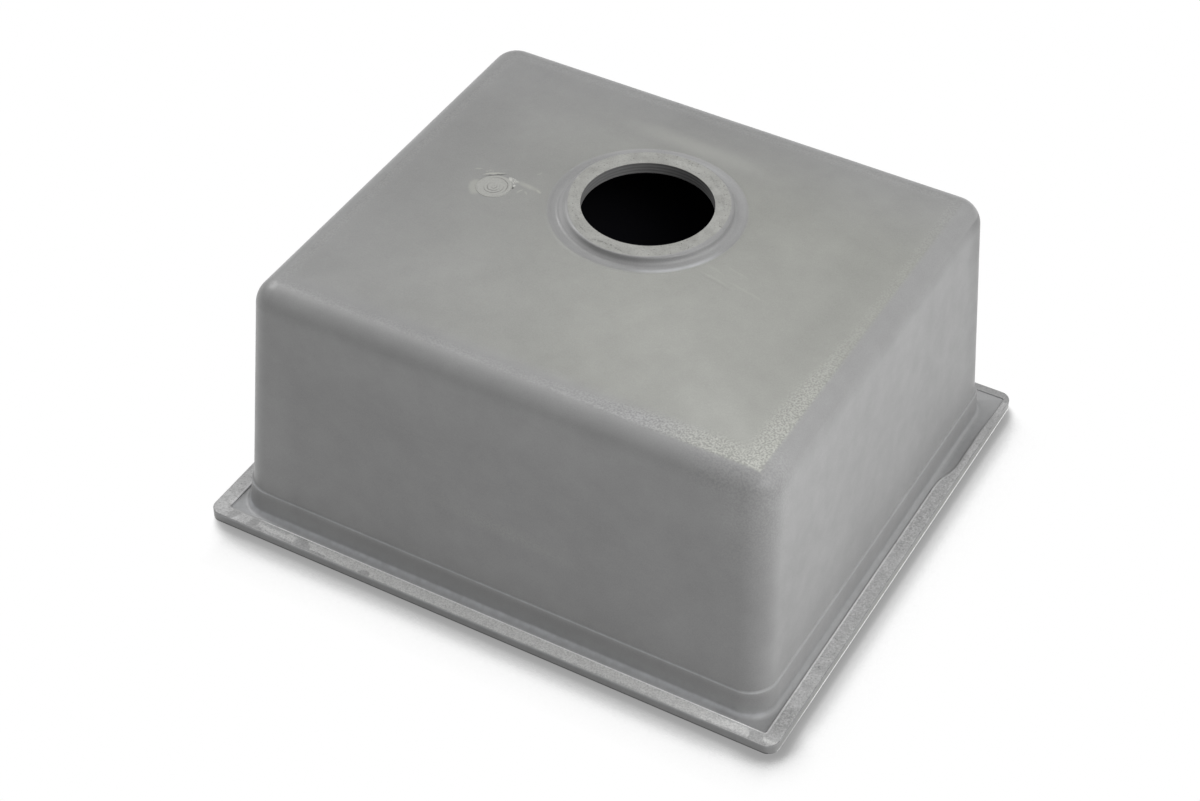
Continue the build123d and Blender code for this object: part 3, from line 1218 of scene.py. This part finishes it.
@dataclass(frozen=True)
class CompositeSkin(Composite):
    """Quartz and acrylic composite as it leaves the mould.

    The skin is satin and close-grained, slightly mottled where the mix settled, and pebbled like
    orange peel along the rounded edges, where the release coat was thick, with glints painted on
    the pebbles' tips; painted light and shade lie over it. The real grain is 0.3 mm, and it is
    drawn three times as coarse so that it shows.
    """

    light: str = "#9a9a9a"  # Mid grey, where the grit lies near the skin
    dark: str = "#949494"  # A shade darker, where the resin does
    film: str = "#fefff7"  # Release wax, which warms the grey it lies on
    painted_light: str = "#cfd1d4"  # Painted light, nearly white and a little cool
    roughness: float = 0.38
    mottle_mm: float = 55.0
    cloud_mm: float = 17.0
    grain_mm: float = 0.9
    drift_mm: float = 5.0
    pebble_mm: float = 1.4
    pebble_depth_mm: float = 0.5
    glint_share: float = 0.24

    def surface(self, tree: NodeTree) -> Node:
        """Draws the mottled skin, its film, its painted light and shade, marks, and pebbles with
        painted glints.

        Args:
            tree: The material's node tree.

        Returns:
            The shader.
        """
        mottle, cloud, grain, drift, cells = self.grains(
            tree, (self.mottle_mm, 3, 0.55), (self.cloud_mm, 4, 0.6), (self.grain_mm, 2, 0.7),
            (self.drift_mm, 3, 0.5), (self.pebble_mm, 1, 0.4))
        pale, film, painted_light, pebble_and_glint = (add_node(tree, "Attribute", attribute_name=name).outputs["Fac"]
                                    for name in ("painted_light_and_tone", "film", "painted_light", "pebble_and_glint"))
        blend = add_node(tree, "Math", (mottle, cloud), operation="ADD")
        share = add_node(tree, "MapRange", (blend, 0.75, 1.25))
        tone = add_node(tree, "Mix", {"Factor": share, "A": linear(self.dark),
                                      "B": linear(self.light)}, data_type="RGBA")
        speck = add_node(tree, "MapRange", (grain, 0.3, 0.7, 0.93, 1.05))
        # The painted light and shade multiply the tone
        for factor, tint in ((1.0, speck), (1.0, pale), (film, linear(self.film))):
            tone = add_node(tree, "Mix", {"Factor": factor, "A": tone, "B": tint},
                            data_type="RGBA", blend_type="MULTIPLY")
        # Painted light, mixed in as a pale cool tone
        patchy = add_node(tree, "MapRange", (drift, 0.35, 0.65, 0.82, 1.18))
        cover = add_node(tree, "Math", (painted_light, patchy), operation="MULTIPLY")
        tone = add_node(tree, "Mix", {"Factor": cover, "A": tone, "B": linear(self.painted_light)},
                        data_type="RGBA")
        tone = paint_marks(tree, self.marks, tone)
        # Glints painted on the pebbles' tips
        low, high = 1 - self.glint_share / 2, 1 + self.glint_share * 1.5
        painted_glints = add_node(tree, "MapRange", (cells, 0.38, 0.62, low, high))
        tone = add_node(tree, "Mix", {"Factor": pebble_and_glint, "A": tone, "B": painted_glints},
                        data_type="RGBA", blend_type="MULTIPLY")
        weight = add_node(tree, "MapRange", (pebble_and_glint, 0, 1, 0.02, 1.0))
        rise = add_node(tree, "Math", (cells, weight), operation="MULTIPLY")
        fine = add_node(tree, "Math", (grain, 0.04), operation="MULTIPLY")
        height = add_node(tree, "Math", (rise, fine), operation="ADD")
        bump = add_node(tree, "Bump", {"Height": height, "Strength": 1.0,
                                       "Distance": self.pebble_depth_mm * MM})
        low, high = self.roughness - 0.04, self.roughness + 0.04
        rough = add_node(tree, "MapRange", (cloud, 0.3, 0.7, high, low))
        return add_node(tree, "BsdfPrincipled", {"Base Color": tone, "Roughness": rough,
                                                 "IOR": self.ior, "Normal": bump})


@dataclass(frozen=True)
class GroundFace(Composite):
    """Composite ground flat after casting: matt and paler, with open pits and grinding lines.

    The real pits are a few tenths of a millimetre, and they are drawn coarser so that they show.
    """

    light: str = "#a2a29e"  # Grit cut through, which is paler than the skin
    dark: str = "#93938f"  # Resin between the grit
    pit: str = "#70706c"  # Dirt in the open pits
    roughness: float = 0.55
    pit_mm: float = 1.5
    scuff_mm: float = 9.0
    grain_mm: float = 1.1
    grain_share: float = 0.09
    ragged_mm: float = 1.2

    def surface(self, tree: NodeTree) -> Node:
        """Draws the scuffed face with its pits, marks and grit.

        Args:
            tree: The material's node tree.

        Returns:
            The shader.
        """
        scuff, pits, grit = self.grains(tree, (self.scuff_mm, 5, 0.65), (self.pit_mm, 3, 0.6),
                                        (self.grain_mm, 2, 0.5))
        share = add_node(tree, "MapRange", (scuff, 0.35, 0.62))
        tone = add_node(tree, "Mix", {"Factor": share, "A": linear(self.dark),
                                      "B": linear(self.light)}, data_type="RGBA")
        hole = add_node(tree, "MapRange", (pits, 0.40, 0.30))
        tone = add_node(tree, "Mix", {"Factor": hole, "A": tone, "B": linear(self.pit)},
                        data_type="RGBA")
        tone = paint_marks(tree, self.marks, tone, self.ragged_mm)
        low, high = 1 - self.grain_share, 1 + self.grain_share
        speck = add_node(tree, "MapRange", (grit, 0.3, 0.7, low, high))
        tone = add_node(tree, "Mix", {"Factor": 1.0, "A": tone, "B": speck},
                        data_type="RGBA", blend_type="MULTIPLY")
        depth = add_node(tree, "Math", (hole, -1.0), operation="MULTIPLY")
        bump = add_node(tree, "Bump", {"Height": depth, "Strength": 0.6, "Distance": 0.15 * MM})
        return add_node(tree, "BsdfPrincipled", {"Base Color": tone, "Roughness": self.roughness,
                                                 "IOR": self.ior, "Normal": bump})


@dataclass(frozen=True)
class CutFace(Composite):
    """Composite faced off with a cutter: paler than the skin, darker in the cutter's rings."""

    face: str = "#a4a4a0"  # Freshly cut grit
    ring: str = "#80807c"  # Darker in the cutter's rings
    grain_mm: float = 1.1

    def surface(self, tree: NodeTree) -> Node:
        """Draws the cut grit, darker in the rings.

        Args:
            tree: The material's node tree.

        Returns:
            The shader.
        """
        depth = add_node(tree, "Attribute", attribute_name="groove").outputs["Fac"]
        grain, = self.grains(tree, (self.grain_mm, 3, 0.6))
        speck = add_node(tree, "MapRange", (grain, 0.3, 0.7, 0.88, 1.1))
        share = add_node(tree, "MapRange", (depth, 0.1, 0.8))
        tone = add_node(tree, "Mix", {"Factor": share, "A": linear(self.face),
                                      "B": linear(self.ring)}, data_type="RGBA")
        tone = add_node(tree, "Mix", {"Factor": 1.0, "A": tone, "B": speck},
                        data_type="RGBA", blend_type="MULTIPLY")
        bump = add_node(tree, "Bump", {"Height": grain, "Strength": 0.5, "Distance": 0.1 * MM})
        return add_node(tree, "BsdfPrincipled", {"Base Color": tone, "Roughness": self.roughness,
                                                 "IOR": self.ior, "Normal": bump})


# The studio


@dataclass(frozen=True)
class Softbox:
    """One soft lamp: a square panel that faces the sink."""

    name: str
    place: tuple[float, float, float]
    side: float
    power: float

    def light(self) -> Object:
        """Puts the lamp in the scene, aimed at the middle of the sink.

        Returns:
            The lamp.
        """
        data = bpy.data.lights.new(self.name, "AREA")
        data.shape = "SQUARE"
        data.size = self.side
        data.energy = self.power
        lamp = bpy.data.objects.new(self.name, data)
        lamp.location = self.place
        aim = Vector((0, 0, 0.1)) - Vector(self.place)
        lamp.rotation_euler = aim.to_track_quat("-Z", "Y").to_euler()
        bpy.context.scene.collection.objects.link(lamp)
        LOG.info("%s: %.1f W", self.name, self.power)
        return lamp


@dataclass(frozen=True)
class Studio:
    """The floor, the black card, the lamps, the surroundings and the camera, in metres."""

    floor_side: float = 12.0
    floor_level: float = -0.0002
    card_half: tuple[float, float] = (0.192, 0.167)
    card_level: float = 0.15
    surroundings: float = 0.284
    contact_reach: float = 0.042
    shadow_fade: tuple[float, float] = (-0.005, 0.028)
    corner_fade: tuple[float, float] = (0.034, 0.004)
    corner_gain: float = 1.7
    right_fade: float = 0.0075
    right_gain: float = 0.8
    contact_curve: tuple[tuple[float, float], ...] = (
        (0.0, 0.34), (0.6, 0.345), (0.685, 0.365), (0.76, 0.39), (0.816, 0.425), (0.853, 0.487),
        (0.885, 0.614), (0.923, 0.8), (0.94, 0.905), (0.948, 0.96), (0.955, 1.0), (1.0, 1.0))
    sensor_width: float = 36.0
    focal_px: float = 2668.4785
    frame_px: float = 1200.0
    eye_mm: tuple[float, float, float] = (682.765, -1275.760, 1358.257)
    turn: float = 0.5025641
    tilt: float = 0.7319144
    roll: float = 0.0143627
    softboxes: tuple[Softbox, ...] = (
        Softbox("lamp_back_high", (-0.516, 0.894, 2.042), 1.0, 8.5),
        Softbox("lamp_left", (-1.628, 0.436, 1.514), 1.0, 17.5),
        Softbox("lamp_front_right", (1.460, -0.843, 1.514), 1.0, 8.0),
        Softbox("lamp_right", (0.9, 0.1, 0.9), 1.2, 7.6),
    )

    def lay_panel(self, name: str, half_x: float, half_y: float, level: float) -> Object:
        """Lays a level panel centred on the Z axis.

        Args:
            name: The panel's name.
            half_x: Half its length.
            half_y: Half its width.
            level: Its height.

        Returns:
            The panel.
        """
        corners = [(half_x * i, half_y * j, 0) for i, j in ((-1, -1), (1, -1), (1, 1), (-1, 1))]
        panel = add_mesh(name, corners, [(0, 1, 2, 3)])
        panel.location.z = level
        LOG.info("%s: %.2f x %.2f m", name, 2 * half_x, 2 * half_y)
        return panel

    def lay_floor(self) -> None:
        """Lays the white floor."""
        floor = self.lay_panel("floor", self.floor_side / 2, self.floor_side / 2, self.floor_level)
        floor.data.materials.append(make_material("white_card", self.white_card))

    def lay_card(self) -> None:
        """Hangs a black card in the bowl, not far below the outlet, a dark sheet that stands in for
        shade so that the bore is dark.
        """
        card = self.lay_panel("black_card", *self.card_half, self.card_level)
        card.data.materials.append(make_material("black_shade_felt", self.black_shade_felt))

    def black_shade_felt(self, tree: NodeTree) -> Node:
        """Draws the black card's felt, a dark sheet standing in for shade, which swallows nearly
        all the light, and returns its shader.
        """
        return add_node(tree, "BsdfDiffuse", {"Color": linear("#1c1c20")})

    def white_card(self, tree: NodeTree) -> Node:
        """Draws white card, lit so evenly that only the soft shadow under the sink shows on it.

        The shadow runs along the front and the right, is wider at the front right corner, and
        fades out towards the left and the back.

        Args:
            tree: The material's node tree.

        Returns:
            The shader.
        """
        x, y = Rim.half_length * MM, Rim.half_width * MM
        near = add_node(tree, "AmbientOcclusion", {"Distance": self.contact_reach}, samples=16)
        place = add_node(tree, "TexCoord").outputs["Object"]
        part = add_node(tree, "SeparateXYZ", (place,))
        away = add_node(tree, "VectorMath", (place, (x, -y, 0)), operation="DISTANCE")
        gap, fade = self.shadow_fade
        cover = add_node(tree, "Math", (1.0, near.outputs["AO"]), operation="SUBTRACT")
        for value, begin, end, low, high, kind in (
                (part.outputs["X"], gap - x, fade - x, 0.0, 1.0, "SMOOTHSTEP"),
                (part.outputs["Y"], y - gap, y - fade, 0.0, 1.0, "SMOOTHSTEP"),
                (away, *self.corner_fade, 1.0, self.corner_gain, "SMOOTHSTEP"),
                (part.outputs["X"], x, x + self.right_fade, 1.0, self.right_gain, "LINEAR")):
            share = add_node(tree, "MapRange", (value, begin, end, low, high),
                             interpolation_type=kind)
            cover = add_node(tree, "Math", (cover, share), operation="MULTIPLY")
        opened = add_node(tree, "Math", (1.0, cover), operation="SUBTRACT")
        shade = add_node(tree, "FloatCurve", {"Value": opened})
        curve = shade.mapping.curves[0]
        for point, ends in zip(curve.points, (self.contact_curve[0], self.contact_curve[-1])):
            point.location = ends
        for between in self.contact_curve[1:-1]:
            curve.points.new(*between)
        shade.mapping.update()
        glow = add_node(tree, "Emission", {"Color": linear("#ffffff"), "Strength": shade})
        card = add_node(tree, "BsdfDiffuse", {"Color": linear("#e8e8e8")})
        path = add_node(tree, "LightPath")
        seen = path.outputs["Is Camera Ray"]
        for ray in ("Is Glossy Ray", "Is Transmission Ray"):
            seen = add_node(tree, "Math", (seen, path.outputs[ray]), operation="MAXIMUM")
        return add_node(tree, "MixShader", (seen, card, glow))

    def surround(self) -> None:
        """Lights the scene evenly from all sides, and shows white behind the floor."""
        world = bpy.data.worlds.new("studio")
        bpy.context.scene.world = world
        world.use_nodes = True
        tree = world.node_tree
        tree.nodes.clear()
        seen = add_node(tree, "LightPath").outputs["Is Camera Ray"]
        dim, white = (add_node(tree, "Background", {"Color": linear("#ffffff"), "Strength": power})
                      for power in (self.surroundings, 1.0))
        mix = add_node(tree, "MixShader", (seen, dim, white))
        add_node(tree, "OutputWorld", {"Surface": mix})

    def place_camera(self) -> Object:
        """Puts the camera where the picture was taken from.

        Returns:
            The camera.
        """
        data = bpy.data.cameras.new("camera")
        data.sensor_width = self.sensor_width
        data.lens = self.focal_px * self.sensor_width / self.frame_px
        data.clip_start, data.clip_end = 0.05, 30.0
        camera = bpy.data.objects.new("camera", data)
        level = math.cos(self.tilt)
        ahead = Vector((-math.sin(self.turn) * level, math.cos(self.turn) * level,
                        -math.sin(self.tilt)))
        right = Vector((math.cos(self.turn), math.sin(self.turn), 0))
        up = right.cross(ahead)
        across = math.cos(self.roll) * right + math.sin(self.roll) * up
        above = -math.sin(self.roll) * right + math.cos(self.roll) * up
        camera.matrix_world = Matrix.Translation(Vector(self.eye_mm) * MM) @ Matrix(
            (across, above, -ahead)).transposed().to_4x4()
        bpy.context.scene.collection.objects.link(camera)
        bpy.context.scene.camera = camera
        return camera

    def build(self) -> None:
        """Builds the floor, the card, the surroundings, the lamps and the camera."""
        self.lay_floor()
        self.lay_card()
        self.surround()
        for box in self.softboxes:
            box.light()
        self.place_camera()
        bpy.context.scene.view_settings.view_transform = "Standard"


def main() -> None:
    """Builds the sink and the studio round it."""
    logging.basicConfig(level=logging.INFO, format="%(name)s: %(message)s")
    casting = Casting()
    sink = casting.build()
    casting.dress(sink)
    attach(sink, "root")
    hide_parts("sink_bowl")
    gate = GateMark()
    mark = gate.build(sink)
    gate.dress(mark)
    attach(mark, "root")
    Studio().build()


if __name__ == "__main__":
    main()
